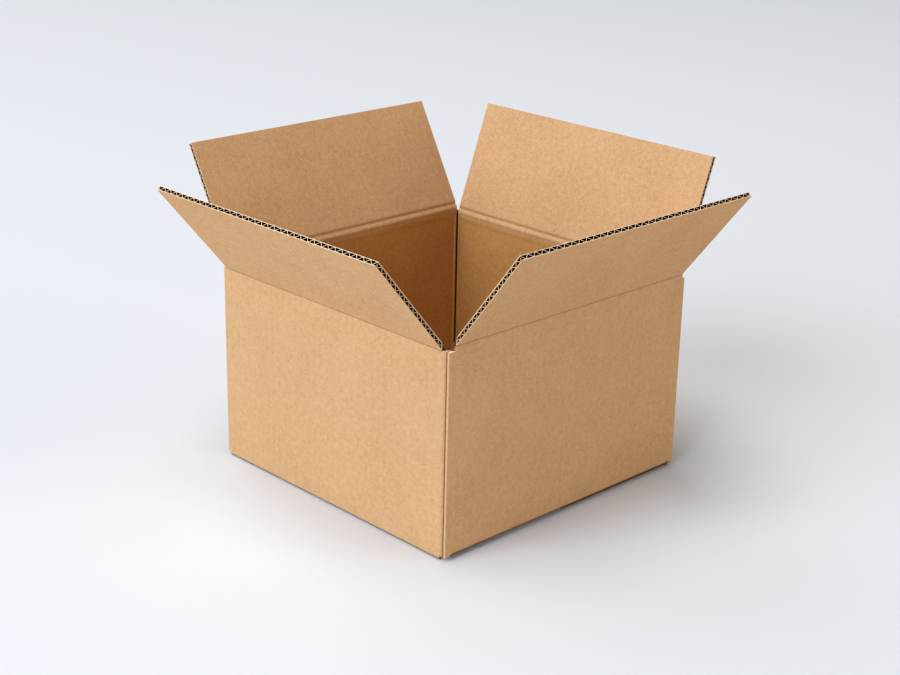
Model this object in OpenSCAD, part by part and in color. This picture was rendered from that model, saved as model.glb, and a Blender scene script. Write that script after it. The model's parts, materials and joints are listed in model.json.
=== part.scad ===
// Open slotted box of corrugated board with four top flaps on pressed creases.
// Millimetres, Z up. The origin is the middle of the underside. The glued corner is at +X -Y.

/* [Box] */
// outside width along X
box_w = 280; // [220:5:360]
// outside depth along Y
box_d = 280; // [220:5:360]
// height of the front and back creases, the lower pair
wall_h = 175; // [130:5:260]
// outside radius of every fold
fold_r = 3; // [1.5:0.5:3.5]

/* [Board] */
// thickness of the whole board
board_t = 4; // [3.4:0.1:4.6]
// thickness of each flat facing sheet
liner_t = 0.4; // [0.3:0.05:0.7]
// thickness of the wavy sheet between them
medium_t = 0.35; // [0.25:0.05:0.6]
// distance from one flute to the next
flute_pitch = 7.9; // [7:0.1:9]
// half width of the flat where a flute touches a facing
flute_tip = 0.5; // [0.4:0.05:0.8]
// how deep the open flutes run into the cut edges of the walls
flute_depth = 10; // [4:1:20]

/* [Top flaps] */
// length of a top flap from its crease to its cut edge
flap_l = 105; // [70:1:108]
// outward lean of the front flap at rest
front_lean = 40; // [10:1:70]
// outward lean of the back flap at rest
back_lean = 20; // [10:1:70]
// outward lean of the left flap at rest
left_lean = 29; // [10:1:70]
// outward lean of the right flap at rest
right_lean = 38; // [10:1:70]

/* [Slots] */
// distance from a folded corner to the flaps beside it
slot_half = 5; // [5:0.5:10]
// distance from the glued corner to the flaps beside it
joint_slot = 7; // [6:0.5:12]

/* [Creases] */
// thickness left in the board along a crease
crush_t = 1.6; // [1:0.1:2.2]
// reach of the pressed strip on each side of a crease
crush_l = 6; // [5:0.5:9]
// radius of the raised bead under a crease, inside the box
bead_r = 1.6; // [1:0.1:1.7]
// how far the bead stands out of the wall
bead_rise = 0.2; // [0.2:0.1:0.9]

/* [Glued corner] */
// width of the tab glued inside the right wall
tab_w = 34; // [20:1:50]
// how much the ends of the tab slope
tab_taper = 9; // [2:1:15]
// how far the tab stays from the pressed creases above and below it
tab_end = 8; // [5:1:15]
// how far the raw edge of the right wall stands back from the front face
raw_back = 0.5; // [0.2:0.1:1.5]
// width of the slit that stays open between the facings of the raw edge
raw_slit = 1.4; // [0.8:0.1:2]
// depth of that slit
raw_slit_d = 3; // [1:0.5:3]

/* [Bottom] */
// gap between the two bottom flaps of a pair
seam = 0.5; // [0.2:0.1:0.6]

/* [Fits] */
// gap between a flap and its wall at the crease
hinge_gap = 0.25; // [0.2:0.05:0.4]
// gap at each end of a flap
end_gap = 0.3; // [0.2:0.05:0.6]
// gap between the inner and the outer flaps when all are closed
lid_gap = 0.3; // [0.2:0.05:0.8]

/* [Hidden] */
$fn = 48;
board_color = "burlywood";
hw = box_w / 2;
hd = box_d / 2;
// crease height of the left and right walls, one board above the other pair
upper_h = wall_h + board_t + lid_gap;
// slots always leave room for an inner flap between the side walls
slot = max(slot_half, board_t + 2 * end_gap);
near_slot = max(joint_slot, board_t + 2 * end_gap);
// a fold keeps some flat board behind its round
fold_web = 0.6;
fold = min(fold_r, board_t - fold_web);
// closed flaps of a pair stay clear of each other
top_l = min(flap_l, min(hw, hd) - seam);
// a flute channel: its depth, and half its width where it is open
medium_lean = 0.45;
channel_d = board_t - 2 * liner_t - medium_t;
channel_b = flute_pitch / 2 - flute_tip - medium_lean * medium_t;
// levels between which the walls are plain
ring_low = 3 * board_t;
ring_high = wall_h - crush_l - 2 * bead_r;
// overlap where two parts of one piece join
lap = 1;

// What a fold takes off a square corner at the origin that lies towards +X +Y.
module fold_cut(r) {
    difference() {
        translate([-lap, -lap]) square(r + lap);
        translate([r, r]) circle(r);
    }
}

// One flute channel that opens on the outer facing: X along the board, Y outwards, outer face at 0.
module channel() {
    polygon([
        [-channel_b, -liner_t],
        [-flute_tip, -liner_t - channel_d],
        [flute_tip, -liner_t - channel_d],
        [channel_b, -liner_t]
    ]);
}

// The same channel turned over to open on the inner facing.
module inner_channel() {
    translate([0, -board_t]) mirror([0, 1]) channel();
}

// Cut edge of the board with whole flutes, from X = 0 to w, outer face at Y = 0.
module fluted_section(w) {
    count = max(2, round(w / flute_pitch));
    step = w / count;
    difference() {
        translate([0, -board_t]) square([w, board_t]);
        for (i = [0 : count]) translate([i * step, 0]) channel();
        for (i = [0 : count - 1]) translate([(i + 0.5) * step, 0]) inner_channel();
    }
}

// Front, left and back walls from above, with the front wall turned in at the glued corner.
module folded_walls_plan() {
    long = box_w - board_t;
    difference() {
        translate([-hw, -hd]) square([long, box_d]);
        translate([board_t - hw, board_t - hd]) square([long, box_d - 2 * board_t]);
        translate([-hw, -hd]) fold_cut(fold);
        translate([-hw, hd]) rotate(-90) fold_cut(fold);
        translate([hw - board_t, -hd]) rotate(90) fold_cut(fold);
    }
}

// Right wall from above, with the slit in its raw edge at the glued corner.
module right_wall_plan() {
    difference() {
        translate([hw - board_t, raw_back - hd]) square([board_t, box_d - raw_back]);
        translate([hw, hd]) rotate(180) fold_cut(fold);
        translate([hw - board_t + liner_t, raw_back - hd - lap]) square([raw_slit, raw_slit_d + lap]);
    }
}

// All four walls from above.
module wall_plan() {
    folded_walls_plan();
    right_wall_plan();
}

// Upper strip of a wall under a flap, along X from x0 to x1: crease on the X axis, outside at -Y.
module wall_top(x0, x1, depth) {
    translate([x0, 0, 0]) rotate([90, 0, 90]) linear_extrude(x1 - x0) {
        polygon([
            [0, -depth],
            [0, 0],
            [crush_t, -crush_t],
            [board_t, -crush_l],
            [board_t, -depth]
        ]);
        translate([board_t + bead_rise - bead_r, -crush_l - bead_r / 2]) circle(bead_r);
    }
}

// Foot of a wall, folded under into a bottom flap of length l, along X from x0 to x1: outside at -Y.
module wall_foot(x0, x1, l, height) {
    translate([x0, 0, 0]) rotate([90, 0, 90]) linear_extrude(x1 - x0) difference() {
        union() {
            square([board_t, height]);
            square([l, board_t]);
        }
        fold_cut(fold);
    }
}

// The part of the walls' plan inside one corner slot, with sx and sy the signs of the corner.
module corner_plan(sx, sy, s) {
    intersection() {
        wall_plan();
        translate([sx * (hw - s / 2 + lap / 2), sy * (hd - s / 2 + lap / 2)]) square(s + lap, center = true);
    }
}

// Flute ends that show in a corner slot, one in each wall beside the flap.
module slot_flutes(sx, sy, s) {
    intersection() {
        union() {
            translate([sx * (hw - s), sy * hd]) rotate(sy > 0 ? 0 : 180) inner_channel();
            translate([sx * hw, sy * (hd - s)]) rotate(-90 * sx) inner_channel();
        }
        corner_plan(sx, sy, s);
    }
}

// Corner between two slots, from the bottom slot to the top one, with flute ends in both.
module corner_post(sx, sy, s) {
    difference() {
        translate([0, 0, board_t]) linear_extrude(wall_h - board_t) corner_plan(sx, sy, s);
        translate([0, 0, wall_h - flute_depth]) linear_extrude(flute_depth + lap) slot_flutes(sx, sy, s);
        translate([0, 0, board_t - lap]) linear_extrude(flute_depth + lap) slot_flutes(sx, sy, s);
    }
}

// The walls between the slots' flutes.
module wall_ring() {
    low = max(ring_low, board_t + flute_depth);
    high = min(ring_high, wall_h - flute_depth);
    translate([0, 0, low - lap]) linear_extrude(high - low + 2 * lap) wall_plan();
}

// Glue tab, folded from the front wall and laid inside the right one.
module glue_tab() {
    low = 2 * board_t + tab_end;
    high = wall_h - crush_l - tab_end;
    reach = board_t + tab_w - fold;
    translate([hw - 2 * board_t, fold - hd, 0]) rotate([90, 0, 90]) linear_extrude(board_t) polygon([
        [0, low],
        [reach, low + tab_taper],
        [reach, high - tab_taper],
        [0, high]
    ]);
}

// Walls, glue tab and glued bottom flaps, folded from one sheet.
module box_body() color(board_color) {
    foot = board_t + flute_depth;
    top = crush_l + 2 * bead_r + flute_depth;
    wall_ring();
    corner_post(-1, -1, slot);
    corner_post(-1, 1, slot);
    corner_post(1, 1, slot);
    corner_post(1, -1, near_slot);
    // each wall's top, as long as its flap
    translate([0, -hd, wall_h]) wall_top(slot - hw, hw - near_slot, top);
    translate([0, hd, wall_h]) rotate(180) wall_top(slot - hw, hw - slot, top);
    translate([hw, 0, upper_h]) rotate(90) wall_top(near_slot - hd, hd - slot, top);
    translate([-hw, 0, upper_h]) rotate(-90) wall_top(slot - hd, hd - slot, top);
    // bottom flaps, front and back outside, left and right laid on them
    translate([0, -hd, 0]) wall_foot(slot - hw, hw - near_slot, hd - seam / 2, foot);
    translate([0, hd, 0]) rotate(180) wall_foot(slot - hw, hw - slot, hd - seam / 2, foot);
    translate([hw, 0, board_t]) rotate(90) wall_foot(near_slot - hd, hd - slot, hw - seam / 2, foot);
    translate([-hw, 0, board_t]) rotate(-90) wall_foot(slot - hd, hd - slot, hw - seam / 2, foot);
    glue_tab();
}

// Pressed strip of a flap in section: X inwards from the outer face, Y up from the crease.
module crush_section() {
    polygon([
        [0, hinge_gap],
        [0, crush_l],
        [board_t, crush_l],
        [crush_t, crush_t + hinge_gap]
    ]);
}

// Space between the facings in that strip, squeezed towards the crease.
module squeezed_flute() {
    polygon([
        [liner_t, crush_t + hinge_gap],
        [liner_t, crush_l + lap],
        [liner_t + channel_d, crush_l + lap],
        [liner_t + channel_d, crush_l],
        [crush_t - liner_t, crush_t + hinge_gap]
    ]);
}

// Pressed strip of a flap w long, with the flute that the cut opens at each end.
module crush_strip(w) {
    rotate([90, 0, 90]) difference() {
        linear_extrude(w) crush_section();
        translate([0, 0, -lap]) linear_extrude(lap + flute_tip) squeezed_flute();
        translate([0, 0, w - flute_tip]) linear_extrude(lap + flute_tip) squeezed_flute();
    }
}

// A top flap upright on its crease, along X from x0 to x1: outside at -Y, flutes open at the cut edge.
module flap(x0, x1) {
    w = x1 - x0 - 2 * end_gap;
    translate([x0 + end_gap, 0, 0]) {
        translate([0, 0, crush_l]) linear_extrude(top_l - crush_l) mirror([0, 1]) fluted_section(w);
        crush_strip(w);
    }
}

// Inner flap on the front wall.
module front_flap() color(board_color)
    translate([0, -hd, wall_h]) rotate([front_lean, 0, 0]) flap(slot - hw, hw - near_slot);

// Inner flap on the back wall.
module back_flap() color(board_color)
    translate([0, hd, wall_h]) rotate(180) rotate([back_lean, 0, 0]) flap(slot - hw, hw - slot);

// Outer flap on the left wall.
module left_flap() color(board_color)
    translate([-hw, 0, upper_h]) rotate(-90) rotate([left_lean, 0, 0]) flap(slot - hd, hd - slot);

// Outer flap on the right wall.
module right_flap() color(board_color)
    translate([hw, 0, upper_h]) rotate(90) rotate([right_lean, 0, 0]) flap(near_slot - hd, hd - slot);

box_body();
front_flap();
back_flap();
left_flap();
right_flap();
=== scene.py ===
import json
from functools import partial

import bpy
import numpy as np
from mathutils import Matrix, Vector


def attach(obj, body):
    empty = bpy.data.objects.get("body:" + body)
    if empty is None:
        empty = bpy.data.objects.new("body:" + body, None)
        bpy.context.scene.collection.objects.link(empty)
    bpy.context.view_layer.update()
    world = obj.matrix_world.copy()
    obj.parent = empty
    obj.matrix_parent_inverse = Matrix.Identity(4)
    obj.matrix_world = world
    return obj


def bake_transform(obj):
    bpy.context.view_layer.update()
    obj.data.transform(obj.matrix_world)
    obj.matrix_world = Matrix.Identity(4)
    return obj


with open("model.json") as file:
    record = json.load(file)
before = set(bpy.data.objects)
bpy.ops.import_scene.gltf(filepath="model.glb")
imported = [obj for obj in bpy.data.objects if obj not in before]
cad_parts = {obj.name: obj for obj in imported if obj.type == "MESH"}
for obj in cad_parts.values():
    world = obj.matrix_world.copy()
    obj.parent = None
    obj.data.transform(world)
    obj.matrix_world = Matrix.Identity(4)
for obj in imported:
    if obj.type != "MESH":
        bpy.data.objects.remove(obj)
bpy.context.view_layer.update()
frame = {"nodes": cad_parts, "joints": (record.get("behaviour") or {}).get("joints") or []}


# A shader socket that can stand in a sum: each operator adds one Math node.
class Socket:
    def __init__(self, graph, socket):
        self.graph = graph
        self.socket = socket

    def math(self, operation, a, b=0.0):
        return self.graph.node("ShaderNodeMath", {"operation": operation}, {0: a, 1: b})

    def __add__(self, other):
        return self.math("ADD", self, other)

    def __radd__(self, other):
        return self.math("ADD", other, self)

    def __sub__(self, other):
        return self.math("SUBTRACT", self, other)

    def __rsub__(self, other):
        return self.math("SUBTRACT", other, self)

    def __mul__(self, other):
        return self.math("MULTIPLY", self, other)

    def __rmul__(self, other):
        return self.math("MULTIPLY", other, self)

    def __abs__(self):
        return self.math("ABSOLUTE", self)

    def __gt__(self, other):
        return self.math("GREATER_THAN", self, other)

    def __lt__(self, other):
        return self.math("LESS_THAN", self, other)

    def sin(self):
        return self.math("SINE", self)

    def smooth(self, low, high):       # 0 below low, 1 above high
        sockets = {0: self, 1: low, 2: high}
        return self.graph.node("ShaderNodeMapRange", {"interpolation_type": "SMOOTHSTEP"}, sockets)


# One material's node tree.
class Graph:
    def __init__(self, name):
        self.material = bpy.data.materials.new(name)
        self.material.use_nodes = True
        self.tree = self.material.node_tree
        self.tree.nodes.clear()

    def node(self, kind, settings=None, sockets=None, out=0):
        made = self.tree.nodes.new(kind)
        for key, value in (settings or {}).items():
            setattr(made, key, value)
        for key, value in (sockets or {}).items():
            if isinstance(value, Socket):
                self.tree.links.new(value.socket, made.inputs[key])
            else:
                made.inputs[key].default_value = value
        return Socket(self, made.outputs[out]) if made.outputs else None

    def mix(self, factor, a, b, blend="MIX"):
        settings = {"data_type": "RGBA", "blend_type": blend, "clamp_factor": True}
        return self.node("ShaderNodeMix", settings, {0: factor, 6: a, 7: b}, out=2)

    def dot(self, vector, direction):
        sockets = {0: vector, 1: tuple(direction)}
        return self.node("ShaderNodeVectorMath", {"operation": "DOT_PRODUCT"}, sockets, out=1)

    def axes(self, vector):            # its x, y and z
        return [self.dot(vector, axis) for axis in ((1, 0, 0), (0, 1, 0), (0, 0, 1))]

    def noise(self, where, scale, detail, rough):
        sockets = {"Vector": where, "Scale": scale, "Detail": detail, "Roughness": rough}
        return self.node("ShaderNodeTexNoise", {"noise_dimensions": "3D"}, sockets)

    def attribute(self, name):         # a number that the mesh carries at its points
        return self.node("ShaderNodeAttribute", {"attribute_name": name}, out=2)

    def surface(self, **sockets):
        named = {key.replace("_", " "): value for key, value in sockets.items()}
        made = self.node("ShaderNodeBsdfPrincipled", None, named)
        self.node("ShaderNodeOutputMaterial", None, {"Surface": made})
        return self.material


def linear(red, green, blue):          # an sRGB colour, 0 to 255, as a shader colour
    value = np.array([red, green, blue]) / 255
    value = np.where(value <= 0.04045, value / 12.92, ((value + 0.055) / 1.055) ** 2.4)
    return (*value.tolist(), 1.0)


def addMesh(name, points, faces):      # points in rows of 3, faces m by 4, smooth shaded
    mesh = bpy.data.meshes.new(name)
    mesh.from_pydata(points.reshape(-1, 3).tolist(), [], faces.tolist())
    mesh.polygons.foreach_set("use_smooth", np.ones(len(faces), bool))
    mesh.update()
    piece = bpy.data.objects.new(name, mesh)
    bpy.context.scene.collection.objects.link(piece)
    return piece


def gridFaces(rows, columns):          # quads between the points of a rows by columns grid
    index = np.arange(rows * columns).reshape(rows, columns)
    quads = [index[:-1, :-1], index[1:, :-1], index[1:, 1:], index[:-1, 1:]]
    return np.stack(quads, -1).reshape(-1, 4)


def dress(name, material):             # puts a material on a CAD node
    slots = frame["nodes"][name].data.materials
    slots.clear()
    slots.append(material)


board = dict(
    thick=0.004,
    flutePitch=0.0079,
    skin=0.0003,                       # a facing's thickness
    face=linear(202, 159, 115),        # plain kraft liner
    pale=linear(217, 177, 134),        # lighter fibres
    deep=linear(180, 136, 93),         # darker fibres
    fleck=linear(140, 98, 61),         # bark flecks
    cut=linear(240, 210, 174),         # fresh cut of the paper
    sideCut=0.6,                       # how pale the side cuts are against it
    creaseShadeColor=linear(155, 110, 66),      # painted shade along a pressed crease
    scoreShade=linear(84, 50, 24),          # painted shade in the bottom of a folded score and a painted contact shadow along the walls' feet
    inner=(0.9, 0.79, 0.51, 1.0),      # painted shade: the liner is coloured deeper down inside, standing in for the shade there
    holeShade=linear(36, 10, 1),            # painted shade in the depth of an open flute
)

fibres = dict(
    cloud=(22, 3, 0.5),                # scale, detail and roughness of each size of mottling
    fibre=(260, 5, 0.62),
    fine=(900, 3, 0.6),
    grain=(1700, 2, 0.6),
    tone=(0.12, 0.33, 0.55),           # shares of cloud, fibre and fine in the colour
    ribTone=0.0105,                    # and what the ribs add
    paleFrom=(0.5, 0.66),              # tones that turn pale
    deepFrom=(0.36, 0.5),              # tones that stay deep
    mottle=0.85,
    fleckGrain=(0.64, 0.72),           # flecks lie where the grain is strong
    fleckFine=(0.45, 0.6),             # and the fine fibres are too
    flecks=0.35,
    height=(0.5, 0.35, 0.15),          # shares of fine, fibre and grain in the relief
    ribHeight=0.015,                   # and what the ribs add
    bump=0.35,
    bumpDepth=0.0003,
    rough=0.82,
    roughFibre=0.12,
)


# Kraft liner: three sizes of fibre mottling, dark flecks and the faint ribs of the flutes behind it.
# ribsFrom gives the coordinate across the flutes; the others give masks of 0 to 1, which lay painted shade
# (inside, along creases and in open flutes) and the paler cut.
def kraft(name, ribsFrom, cutFrom=None, creaseShadeFrom=None, holeShadeFrom=None, insideShadeFrom=None,
          creaseShadeColor=board["creaseShadeColor"]):
    g = Graph(name)
    place = g.node("ShaderNodeTexCoord", out=3)
    normal = g.node("ShaderNodeTexCoord", out=1)
    ribs = ribsFrom(g, place, normal)
    noises = ("cloud", "fibre", "fine", "grain")
    cloud, fibre, fine, grain = (g.noise(place, *fibres[noise]) for noise in noises)
    rib = (ribs * (2 * np.pi / board["flutePitch"])).sin() * 0.5 + 0.5
    share = fibres["tone"]
    tone = share[0] * cloud + share[1] * fibre + share[2] * fine + (rib - 0.5) * fibres["ribTone"]
    light = tone.smooth(*fibres["paleFrom"])
    dark = 1 - tone.smooth(*fibres["deepFrom"])
    color = g.mix(light * fibres["mottle"], board["face"], board["pale"])
    color = g.mix(dark * fibres["mottle"], color, board["deep"])
    flecks = grain.smooth(*fibres["fleckGrain"]) * fine.smooth(*fibres["fleckFine"])
    color = g.mix(flecks * fibres["flecks"], color, board["fleck"])
    # painted shade: the inside is darkened
    if insideShadeFrom:
        color = g.mix(insideShadeFrom(g, place), color, board["inner"], "MULTIPLY")
    # painted shade along creases and the feet
    if creaseShadeFrom:
        color = g.mix(creaseShadeFrom(g, place), color, creaseShadeColor)
    # painted shade in open flutes
    if holeShadeFrom:
        color = g.mix(holeShadeFrom(g, place), color, board["holeShade"])
    if cutFrom:
        color = g.mix(cutFrom(g, place, normal), color, board["cut"])
    share = fibres["height"]
    height = share[0] * fine + share[1] * fibre + share[2] * grain + fibres["ribHeight"] * rib
    relief = {"Strength": fibres["bump"], "Distance": fibres["bumpDepth"], "Height": height}
    bump = g.node("ShaderNodeBump", None, relief)
    rough = fibres["rough"] + fibres["roughFibre"] * fibre
    return g.surface(Base_Color=color, Roughness=rough, Normal=bump, Specular_IOR_Level=0.0)


# Each flap's own frame, from its joint: the crease, the way out of the wall and the lean at rest.
def flapFrame(joint):
    node = joint["child"]
    along = np.array(joint["axis"], float)
    crease = np.array(joint["pos_m"], float)
    up = np.array([0.0, 0.0, 1.0])
    out = np.cross(along, up)           # a positive turn about the axis opens the flap outwards
    out = out * np.sign(out @ crease)
    lean = np.radians(-joint["range_deg"][0] - 90)
    flapUp = np.cos(lean) * up + np.sin(lean) * out
    flapIn = np.sin(lean) * up - np.cos(lean) * out
    mesh = frame["nodes"][node].data
    points = np.empty(len(mesh.vertices) * 3, np.float32)
    mesh.vertices.foreach_get("co", points)
    points = points.reshape(-1, 3) - crease
    ends = points @ along
    return dict(node=node, side=node.split("_")[0], along=along, crease=crease, up=up, out=out, lean=lean,
                flapUp=flapUp, flapIn=flapIn, low=ends.min(), high=ends.max(), length=(points @ flapUp).max())


flaps = {joint["child"]: flapFrame(joint) for joint in frame["joints"]}
for f in flaps.values():
    print("flap", f["node"], "lean", round(np.degrees(f["lean"]), 1), "length", round(float(f["length"]), 4))

bodyCut = dict(
    outer=0.14,                         # faces of the walls
    inner=0.136,
    slack=0.00002,
    sideways=0.5,                       # a face points along X past this
    upwards=0.9,                        # and up past this
    slotFloor=0.175,
    near=0.0002,
    slotEnd=0.1285,                     # the slots run from here to the corners
    fluteTop=0.1649,                    # flutes are open above this
    fluteLow=(0.0039, 0.0143),          # and between these at the bottom
    # how dark the painted shade in the open flutes is
    fluteShade=0.5,
    fold=0.137,                         # the folded corners are closed past this
    rawFrom=0.1363,                     # raw edge at the glued corner
    slit=0.001,
    turnIn=(0.133, -0.137),             # the glue tab turns in about this line
    turnRadius=0.0029,
    cornerShade=(0.002, 0.0012),             # how far the painted shade of a corner score reaches from the corner, and where it is full
    deepFrom=0.004,                     # the painted shade of the inside starts above the floor
    insideShadeFade=(0.171, 0.176),            # and ends here
    footFrom=0.1365,                    # the front and back walls' feet, where a contact shadow is painted
    outerFoot=(0.0009, 0.0027),
    sideFrom=0.132,                     # the side walls' feet, one board higher, where a contact shadow is painted
    sideTo=0.1345,
    innerFoot=(0.0046, 0.0061),
    # how dark the painted contact shadow at the feet is
    footShadowStrength=0.85,
)


def bodyRibs(g, place, normal):         # walls facing X carry their flutes side by side along Y
    x, y = g.dot(place, (1, 0, 0)), g.dot(place, (0, 1, 0))
    sideways = abs(g.dot(normal, (1, 0, 0))) > bodyCut["sideways"]
    return x * (1 - sideways) + y * sideways


def bodyFloors(g, place, normal):       # the cut floors of the slots
    level = abs(g.dot(place, (0, 0, 1)) - bodyCut["slotFloor"]) < bodyCut["near"]
    return level * (g.dot(normal, (0, 0, 1)) > bodyCut["upwards"])


def betweenWalls(x, y):
    reach = bodyCut["inner"] + bodyCut["slack"]
    return (abs(x) < reach) * (abs(y) < reach)


def bodyCornerAndFootShade(g, place):              # painted shade: the scored lines in the folded corners, and a painted contact shadow along the walls' feet
    c = bodyCut
    x, y, z = g.axes(place)
    start, full = (c["inner"] - width for width in c["cornerShade"])
    cornerShade = betweenWalls(x, y) * abs(x).smooth(start, full) * abs(y).smooth(start, full)
    footShadow = (abs(y) > c["footFrom"]) * (1 - z.smooth(*c["outerFoot"]))
    sideFootShadow = (abs(x) > c["sideFrom"]) * (abs(y) < c["sideTo"]) * (1 - z.smooth(*c["innerFoot"]))
    return cornerShade + c["footShadowStrength"] * (footShadow + sideFootShadow)


def bodyInsideShade(g, place):                # painted shade of the inside, from a little below the creases down
    x, y, z = g.axes(place)
    return betweenWalls(x, y) * (z > bodyCut["deepFrom"]) * (1 - z.smooth(*bodyCut["insideShadeFade"]))


def bodyHoleShade(g, place):                # painted shade in the flutes that the slots leave open
    c = bodyCut
    x, y, z = g.axes(place)
    low, high = c["outer"] - board["thick"] + board["skin"], c["outer"] - board["skin"]
    within = (abs(x) < high) * (abs(y) < high)
    level = (z > c["fluteTop"]) + (z > c["fluteLow"][0]) * (z < c["fluteLow"][1])
    alongX = (abs(y) > low) * (abs(x) > c["slotEnd"])
    alongY = (abs(x) > low) * (abs(y) > c["slotEnd"])
    inSlot = (alongX + alongY) * within * level
    unfolded = 1 - (abs(x) > c["fold"]) * (abs(y) > c["fold"])
    across, along = x - c["turnIn"][0], y - c["turnIn"][1]
    beyond = across * across + along * along > c["turnRadius"] ** 2
    turned = (across > 0) * (x < c["rawFrom"]) * (y < 0) * beyond
    slit = (x > c["rawFrom"]) * (y < c["slit"] - c["fold"])
    return c["fluteShade"] * inSlot * unfolded * (1 - turned) * (1 - slit)


dress("box_body", kraft("wallKraft", bodyRibs, bodyFloors, bodyCornerAndFootShade, bodyHoleShade, bodyInsideShade, board["scoreShade"]))

flapCut = dict(
    near=0.00006,
    pressed=0.0018,                     # the side cuts are open above this
    openFrom=0.0062,                    # the board is full above this
    sideDepth=0.0009,                   # how deep a side cut shows
)


def fromCrease(g, place, f, way):       # distance from the crease along one of the flap's own directions
    return g.dot(place, f[way]) - float(f["crease"] @ f[way])


def sideCuts(g, place, f, depth):       # both side edges of a flap, to that depth
    end = fromCrease(g, place, f, "along")
    return (end > float(f["high"]) - depth) + (end < float(f["low"]) + depth)


def flapRibs(g, place, normal, f):      # the flutes stand side by side along the crease
    return g.dot(place, f["along"])


def flapEdges(g, place, normal, f):     # the free edge and both side edges
    top = fromCrease(g, place, f, "flapUp") > float(f["length"]) - flapCut["near"]
    return top + board["sideCut"] * sideCuts(g, place, f, flapCut["near"])


def flapHoleShade(g, place, f):             # painted shade on everything between the two facings
    rise = fromCrease(g, place, f, "flapUp")
    depth = fromCrease(g, place, f, "flapIn")
    between = (depth > board["skin"]) * (depth < board["thick"] - board["skin"])
    ends = sideCuts(g, place, f, flapCut["sideDepth"])
    return between * ((rise > flapCut["openFrom"]) + ends * (rise > flapCut["pressed"]))


for f in flaps.values():
    edges, holeShades = partial(flapEdges, f=f), partial(flapHoleShade, f=f)
    dress(f["node"], kraft(f["node"] + "Kraft", partial(flapRibs, f=f), edges, holeShadeFrom=holeShades))
print("kraft on the CAD nodes")

creaseStrip = dict(
    reach=0.0105,                       # how far the inner liner is modelled to each side
    turn=0.0032,                        # where its bend starts and ends
    grooveDepth=0.0008,
    grooveAt=0.0017,                    # the score lies just above the fold
    grooveWidth=0.0013,
    beadRise=0.0006,                    # the wall's liner swells below it
    beadAt=-0.0015,
    beadWidth=0.0015,
    lift=0.00007,                       # the liner lies just over the board
    sinkPower=8,                        # and its edges go under the board's face
    swell=0.00024,                      # it covers the low bead of the wall
    swellAt=-0.0062,
    swellWidth=0.0032,
    pressShade=0.6,                          # how dark the painted shade of the score is
    pressShadeAt=0.002,
    pressShadeWidth=0.00104,
    stripInsideShadeFade=(-0.0065, -0.002),        # the painted shade of the inside ends here
    outerReach=0.004,
    outerTurn=0.0011,
    outerPressShadeWidth=0.0007,
    # strength of the painted crease shade
    pressShadeStrength=0.75,
    rows=41,
    columns=28,
)


# Liner across a crease: a straight run up the wall, an arc through the lean, a straight run up the flap.
# s is the length along the board, negative on the wall; the depth is taken along the arc's normal.
def bentLiner(f, s, faceIn, turn, depth):
    half = f["lean"] / 2
    corner = faceIn * np.tan(half)      # the two faces meet this far above the crease
    radius = (turn + corner) / np.tan(half)
    angle = np.clip((s / turn + 1) / 2, 0, 1) * f["lean"]
    below, above = np.minimum(s + turn, 0), np.maximum(s - turn, 0)
    inward = faceIn - radius * (1 - np.cos(angle)) - above * np.sin(f["lean"])
    rise = -turn + radius * np.sin(angle) + below + above * np.cos(f["lean"])
    inward = inward - depth * np.cos(angle)
    rise = rise - depth * np.sin(angle)
    ends = np.linspace(f["low"], f["high"], creaseStrip["columns"])
    section = rise[:, None] * f["up"] - inward[:, None] * f["out"]
    return f["crease"] + ends[None, :, None] * f["along"] + section[:, None]


# Inner liner: a bell-shaped groove just above the fold and two bell-shaped beads below it.
# Its edges sink under the board by a high power of the distance; the painted crease shade and the painted
# shade of the inside are carried as attributes.
def innerCrease(f):
    c = creaseStrip
    s = np.linspace(-1, 1, c["rows"]) * c["reach"]
    bell = lambda at, width: np.exp(-((s - at) / width) ** 2)
    groove = c["grooveDepth"] * bell(c["grooveAt"], c["grooveWidth"])
    beads = c["beadRise"] * bell(c["beadAt"], c["beadWidth"])
    beads = beads + c["swell"] * bell(c["swellAt"], c["swellWidth"])
    sink = 2 * c["lift"] * (s / c["reach"]) ** c["sinkPower"]
    points = bentLiner(f, s, board["thick"], c["turn"], groove - beads - c["lift"] + sink)
    pressShade = c["pressShade"] * bell(c["pressShadeAt"], c["pressShadeWidth"])
    return s, points, pressShade, np.interp(s, c["stripInsideShadeFade"], (1, 0))


# Outer liner: the plain bend, lifted off the board, with the same sunk edges and a painted shade line along
# the crease.
def outerCrease(f):
    c = creaseStrip
    s = np.linspace(-1, 1, c["rows"]) * c["outerReach"]
    sink = 2 * c["lift"] * (s / c["outerReach"]) ** c["sinkPower"]
    points = bentLiner(f, s, 0.0, c["outerTurn"], c["lift"] - sink)
    return s, points, np.exp(-(s / c["outerPressShadeWidth"]) ** 2), np.zeros_like(s)


def stripPressShade(g, place):             # painted shade along the crease
    return g.attribute("pressShade") * creaseStrip["pressShadeStrength"]


def stripInsideShade(g, place):               # the painted shade of the inside
    return g.attribute("inner")


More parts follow.
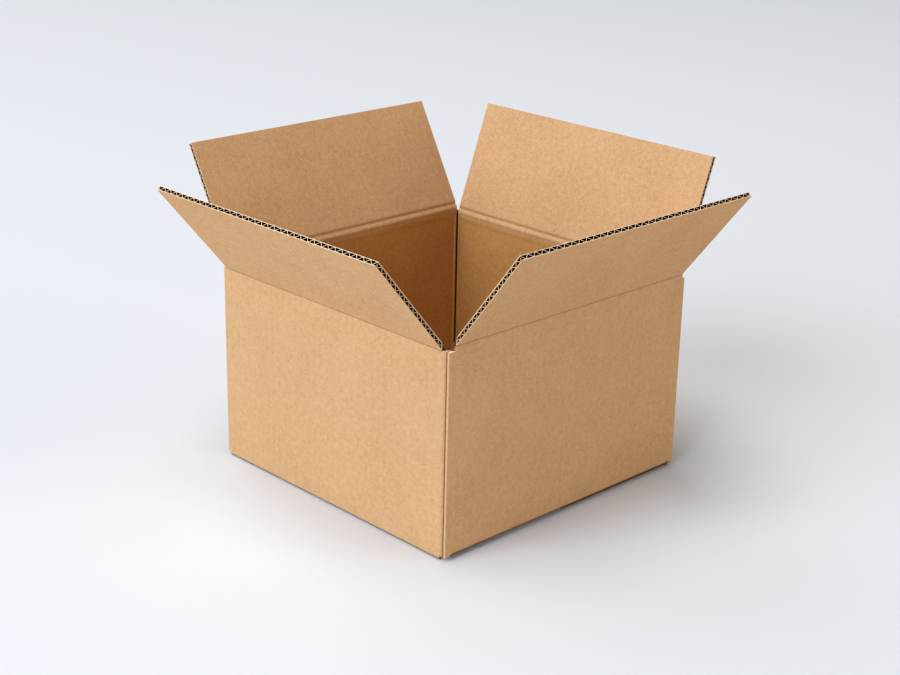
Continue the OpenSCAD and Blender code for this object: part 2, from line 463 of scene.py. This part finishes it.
for f in flaps.values():
    ribs = partial(flapRibs, f=f)
    stripKraft = kraft(f["node"] + "CreaseKraft", ribs, creaseShadeFrom=stripPressShade, insideShadeFrom=stripInsideShade)
    for side, shape, turn in (("Inner", innerCrease, "turn"), ("Outer", outerCrease, "outerTurn")):
        s, points, pressShade, inner = shape(f)
        rows, columns = points.shape[:2]
        faces = gridFaces(rows, columns)
        faceNormal = np.cross(points[1, 0] - points[0, 0], points[0, 1] - points[0, 0])
        if (faceNormal @ f["out"] > 0) != (side == "Outer"):
            faces = faces[:, ::-1]
        strip = addMesh(f["side"] + side + "Crease", points, faces)
        for key, values in (("pressShade", pressShade), ("inner", inner)):
            attribute = strip.data.attributes.new(key, "FLOAT", "POINT")
            attribute.data.foreach_set("value", np.repeat(values, columns).astype(np.float32))
        strip.data.materials.append(stripKraft)
        middle = points[:, columns // 2]
        start = middle[np.argmin(abs(s + creaseStrip[turn]))]
        end = middle[np.argmin(abs(s - creaseStrip[turn]))]
        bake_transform(strip)
print("crease liners")

sideFlutes = dict(
    pitch=0.0068,
    steps=16,                           # points to a wave
    web=0.0005,                         # thickness of the torn fluting that bridges the side cut
    depth=0.0004,
    back=0.00005,                       # stands back from the cut
    shown=0.00003,                      # depth of its own cut edge
    pale=0.1,                           # the torn paper is hardly paler than the liner
    liner=0.0004,
    rounding=0.95,                      # 1 is a sharp zigzag, less is rounder
    start=0.0020,
    stop=0.0002,                        # ends this far below the free edge
    pressed=0.0016,                     # thickness of the board at the crease
    pressedTo=(0.00185, 0.006),         # and where it grows to the full one
)


# Torn fluting along a side cut: a rounded zigzag between the two liners,
# given a web thickness across its slope and carried inwards.
def sideFluting(f, end, outwards):
    c = sideFlutes
    run = np.arange(c["start"], f["length"] - c["stop"], c["pitch"] / c["steps"])
    phase = 2 * np.pi * (run - c["start"]) / c["pitch"]
    wave = np.arcsin(c["rounding"] * np.sin(phase)) / np.arcsin(c["rounding"])
    middle = np.interp(run, c["pressedTo"], (c["pressed"], board["thick"])) / 2
    swing = np.maximum(middle - c["liner"] - c["web"] / 4, 0)    # the web's edge goes into the liner
    slope = np.gradient(wave * swing, run)
    across = np.stack([-slope, np.ones_like(slope)], 1) / np.sqrt(1 + slope ** 2)[:, None]
    line = np.stack([run, middle + wave * swing], 1)
    rings = []
    for half, depth in ((0.5, 0.0), (0.5, c["depth"]), (-0.5, c["depth"]), (-0.5, 0.0)):
        edge = line + across * c["web"] * half
        at = end - outwards * (c["back"] + depth)
        rings.append(f["crease"] + at * f["along"] + edge[:, :1] * f["flapUp"] + edge[:, 1:] * f["flapIn"])
    return np.stack(rings + rings[:1], 1)


def flutingCut(g, place, normal, f):
    return sideFlutes["pale"] * sideCuts(g, place, f, sideFlutes["back"] + sideFlutes["shown"])


for f in flaps.values():
    sides = [sideFluting(f, f["low"], -1), sideFluting(f, f["high"], 1)]
    rows, columns = sides[0].shape[:2]
    faces = gridFaces(rows, columns)
    stacked = np.concatenate([faces[:, ::-1], faces + rows * columns])
    fluting = addMesh(f["side"] + "SideFluting", np.concatenate(sides), stacked)
    fluting.data.polygons.foreach_set("use_smooth", np.zeros(len(stacked), bool))
    torn = kraft(f["node"] + "FlutingKraft", partial(flapRibs, f=f), partial(flutingCut, f=f))
    fluting.data.materials.append(torn)
    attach(fluting, f["node"])
print("side fluting")

cornerBead = dict(
    corners=((-1, 1), (-1, -1), (1, 1)),    # the three folded ones
    low=0.0085,
    high=0.171,
    inner=0.136,
    gap=0.0014,
    width=0.0028,
    rise=0.0012,
    sunk=0.0001,                        # its edges lie under the wall's face
    rows=9,
    columns=30,
)


# Beads beside the folded corners, inside: a half wave across the wall, carried straight up the corner.
def beadAlong(signX, signY, onSide):
    c = cornerBead
    turn = np.linspace(0, np.pi, c["rows"])
    away = c["gap"] + c["width"] * (1 - np.cos(turn)) / 2
    proud = c["rise"] * np.sin(turn) - c["sunk"]
    across = np.stack([c["inner"] - away, c["inner"] - proud], 1)
    if onSide:
        across = across[:, ::-1]
    points = np.empty((c["rows"], c["columns"], 3))
    points[..., :2] = (across * (signX, signY))[:, None]
    points[..., 2] = np.linspace(c["low"], c["high"], c["columns"])
    return points if signX * signY * (-1 if onSide else 1) < 0 else points[::-1]


beads = np.stack([beadAlong(*corner, onSide) for corner in cornerBead["corners"] for onSide in (False, True)])
faces = gridFaces(*beads.shape[1:3])
stacked = np.concatenate([faces + i * beads.shape[1] * beads.shape[2] for i in range(len(beads))])
corners = addMesh("cornerBeads", beads, stacked)
corners.data.materials.append(kraft("cornerKraft", bodyRibs, insideShadeFrom=bodyInsideShade))
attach(corners, "box")
print("corner beads")

studio = dict(
    floorHalf=9.0,
    floor=linear(223, 225, 229),
    floorRough=0.9,
    floorGloss=0.1,
    world=0.09,                         # light from everywhere
    lampDistance=9.0,
    middle=Vector((0, 0, 0.12)),        # the lamps point here
)
floorCorners = np.array([[-1, -1, 0], [1, -1, 0], [1, 1, 0], [-1, 1, 0]]) * studio["floorHalf"]
floor = addMesh("floor", floorCorners, np.array([[0, 1, 2, 3]]))
floorPaint = Graph("paleFloor").surface(
    Base_Color=studio["floor"], Roughness=studio["floorRough"], Specular_IOR_Level=studio["floorGloss"])
floor.data.materials.append(floorPaint)

world = bpy.data.worlds.new("studio")
world.use_nodes = True
background = world.node_tree.nodes["Background"]
background.inputs["Color"].default_value = (1, 1, 1, 1)
background.inputs["Strength"].default_value = studio["world"]
bpy.context.scene.world = world

lamps = dict(                           # soft panels all round, in degrees from the front wall
    key=dict(azimuth=0, elevation=25, size=9.0, watts=993, color=(0.79, 0.89, 1.0)),
    fill=dict(azimuth=120, elevation=15, size=5.5, watts=285, color=(1.0, 0.91, 0.8)),
    side=dict(azimuth=270, elevation=45, size=9.0, watts=260, color=(1.0, 1.0, 1.0)),
    top=dict(azimuth=0, elevation=80, size=5.5, watts=408, color=(1.0, 0.98, 0.95)),
)


def facing(azimuth, elevation):         # unit vector from the box towards that direction
    a, e = np.radians([azimuth, elevation])
    return Vector((np.sin(a) * np.cos(e), -np.cos(a) * np.cos(e), np.sin(e)))


for name, lamp in lamps.items():
    light = bpy.data.lights.new(name, "AREA")
    light.shape = "DISK"
    light.size = lamp["size"]
    light.energy = lamp["watts"]
    light.color = lamp["color"]
    holder = bpy.data.objects.new(name, light)
    toLamp = facing(lamp["azimuth"], lamp["elevation"])
    holder.location = studio["middle"] + toLamp * studio["lampDistance"]
    holder.rotation_euler = toLamp.to_track_quat("Z", "Y").to_euler()
    bpy.context.scene.collection.objects.link(holder)

view = dict(
    azimuth=45.744,
    elevation=20.132,
    roll=1.239,
    distance=1.461,
    target=(0.0003, -0.0033, 0.1161),
    lens=67.56,
    sensor=36.0,
)
camera = bpy.data.objects.new("camera", bpy.data.cameras.new("camera"))
camera.data.sensor_width = view["sensor"]
camera.data.lens = view["lens"]
toCamera = facing(view["azimuth"], view["elevation"])
turn = (-toCamera).to_track_quat("-Z", "Y").to_matrix() @ Matrix.Rotation(np.radians(view["roll"]), 3, "Z")
camera.matrix_world = Matrix.Translation(Vector(view["target"]) + toCamera * view["distance"]) @ turn.to_4x4()
bpy.context.scene.collection.objects.link(camera)
bpy.context.scene.camera = camera
bpy.context.scene.view_settings.view_transform = "Standard"
print("floor, lamps and camera")

bpy.context.view_layer.update()
